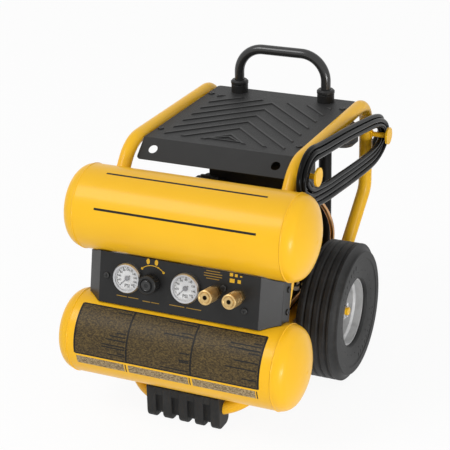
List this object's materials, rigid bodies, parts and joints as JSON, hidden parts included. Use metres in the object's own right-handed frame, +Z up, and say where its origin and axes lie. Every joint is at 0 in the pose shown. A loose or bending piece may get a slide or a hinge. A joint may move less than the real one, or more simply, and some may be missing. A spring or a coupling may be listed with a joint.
{
  "type": "wheeled air compressor",
  "caption": "Wheeled air compressor with stacked horizontal receivers, bent tube frame, pump under a ribbed plate, slide-up handle, gauge panel and a cord hung on pegs.",
  "frame": {"origin": "middle of the footprint without the cord, on the floor", "axes": "+X right as seen from the gauges, -Y towards the user at the gauges, +Z up"},
  "size_m": [0.467, 0.6338, 0.5715],
  "materials": {
    "yellow_paint": "semi-gloss yellow enamel",
    "rim_paint": "silver-grey paint",
    "black_paint": "satin black powder coat",
    "panel_paint": "satin black paint",
    "plate_paint": "fine textured black powder coat",
    "dark_casting": "black painted casting",
    "zinc_steel": "zinc plated",
    "bezel_grey": "satin grey",
    "brass": "machined",
    "copper": "bright copper tube",
    "aluminium": "as cast",
    "black_plastic": "moulded",
    "black_rubber": "moulded",
    "tyre_rubber": "ribbed",
    "dial_white": "printed",
    "needle_grey": "painted",
    "clear_lens": "clear",
    "cord_jacket": "smooth black jacket"
  },
  "bodies": {
    "chassis": {"upper_tank": "yellow_paint", "lower_tank": "yellow_paint", "equaliser_pipe": "brass", "tank_brackets": "yellow_paint", "control_panel": "panel_paint", "panel_screws": "black_paint", "plate_screws": "zinc_steel", "gauge_cases": "bezel_grey", "gauge_dials": "dial_white", "gauge_lenses": "clear_lens", "regulator_body": "brass", "manifold": "aluminium", "couplers": "brass", "pressure_switch": "black_plastic", "safety_valve": "brass", "check_valve": "brass", "discharge_pipe": "copper", "unloader_pipe": "black_rubber", "drain_valve": "brass", "left_side_tube": "yellow_paint", "right_side_tube": "yellow_paint", "front_hoop": "yellow_paint", "rear_crossbar": "yellow_paint", "platform": "yellow_paint", "axle_brackets": "yellow_paint", "top_plate": "plate_paint", "rubber_foot": "black_rubber", "front_cord_peg": "yellow_paint", "rear_cord_peg": "yellow_paint", "left_post": "black_paint", "right_post": "black_paint", "post_collars": "black_plastic", "axle": "yellow_paint", "axle_hardware": "zinc_steel", "motor_housing": "dark_casting", "isolators": "black_rubber", "crankcase": "dark_casting", "cylinder": "dark_casting", "cylinder_head": "aluminium", "pump_shroud": "black_plastic", "intake_filter": "black_plastic", "cord_gland": "black_rubber", "cord_lead": "cord_jacket", "cord_coil": "cord_jacket", "cord_plug": "black_rubber"},
    "handle": {"handle": "black_paint"},
    "left_wheel": {"left_rim": "rim_paint", "left_tyre": "tyre_rubber"},
    "right_wheel": {"right_rim": "rim_paint", "right_tyre": "tyre_rubber"},
    "regulator_knob": {"regulator_knob": "black_plastic"},
    "left_coupler_sleeve": {"left_coupler_sleeve": "brass"},
    "right_coupler_sleeve": {"right_coupler_sleeve": "brass"},
    "switch_lever": {"switch_lever": "black_plastic"},
    "safety_valve_ring": {"safety_valve_ring": "zinc_steel"},
    "drain_lever": {"drain_lever": "zinc_steel"},
    "tank_gauge_needle": {"tank_gauge_needle": "needle_grey"},
    "outlet_gauge_needle": {"outlet_gauge_needle": "needle_grey"},
    "drive": {"drive_shaft": "zinc_steel", "cooling_fan": "black_plastic"}
  },
  "joints": [
    {"name": "handle_slide", "type": "slide", "parent": "chassis", "child": "handle", "axis": [0, 0, 1], "range_m": [0, 0.25]},
    {"name": "left_wheel_spin", "type": "hinge", "parent": "chassis", "child": "left_wheel", "pos_m": [-0.1872, 0.0586, 0.13], "axis": [1, 0, 0], "continuous": true},
    {"name": "right_wheel_spin", "type": "hinge", "parent": "chassis", "child": "right_wheel", "pos_m": [0.1872, 0.0586, 0.13], "axis": [1, 0, 0], "continuous": true},
    {"name": "regulator_knob_turn", "type": "hinge", "parent": "chassis", "child": "regulator_knob", "pos_m": [-0.0505, -0.23419, 0.27158], "axis": [0, -0.9803, 0.1977], "range_deg": [-270, 270]},
    {"name": "left_coupler_pull", "type": "slide", "parent": "chassis", "child": "left_coupler_sleeve", "axis": [0, 0.9803, -0.1977], "range_m": [0, 0.005], "stiffness_N_per_m": 2000, "springref_m": -0.003},
    {"name": "right_coupler_pull", "type": "slide", "parent": "chassis", "child": "right_coupler_sleeve", "axis": [0, 0.9803, -0.1977], "range_m": [0, 0.005], "stiffness_N_per_m": 2000, "springref_m": -0.003},
    {"name": "switch_lever_turn", "type": "hinge", "parent": "chassis", "child": "switch_lever", "pos_m": [-0.006, -0.06084, 0.40448], "axis": [0, 0, 1], "range_deg": [0, 60]},
    {"name": "safety_ring_pull", "type": "slide", "parent": "chassis", "child": "safety_valve_ring", "axis": [0, 1, 0], "range_m": [0, 0.004], "stiffness_N_per_m": 1500, "springref_m": -0.003},
    {"name": "drain_lever_turn", "type": "hinge", "parent": "chassis", "child": "drain_lever", "pos_m": [0.16, -0.1727, 0.06902], "axis": [1, 0, 0], "range_deg": [-90, 0]},
    {"name": "tank_needle_turn", "type": "hinge", "parent": "chassis", "child": "tank_gauge_needle", "pos_m": [-0.0965, -0.23379, 0.27354], "axis": [0, 0.9803, -0.1977], "range_deg": [0, 270], "stiffness_Nm_per_rad": 0.0001},
    {"name": "outlet_needle_turn", "type": "hinge", "parent": "chassis", "child": "outlet_gauge_needle", "pos_m": [0.016, -0.23379, 0.27354], "axis": [0, 0.9803, -0.1977], "range_deg": [0, 270], "stiffness_Nm_per_rad": 0.0001},
    {"name": "drive_spin", "type": "hinge", "parent": "chassis", "child": "drive", "pos_m": [0.098, 0.05, 0.2297], "axis": [1, 0, 0], "continuous": true}
  ]
}
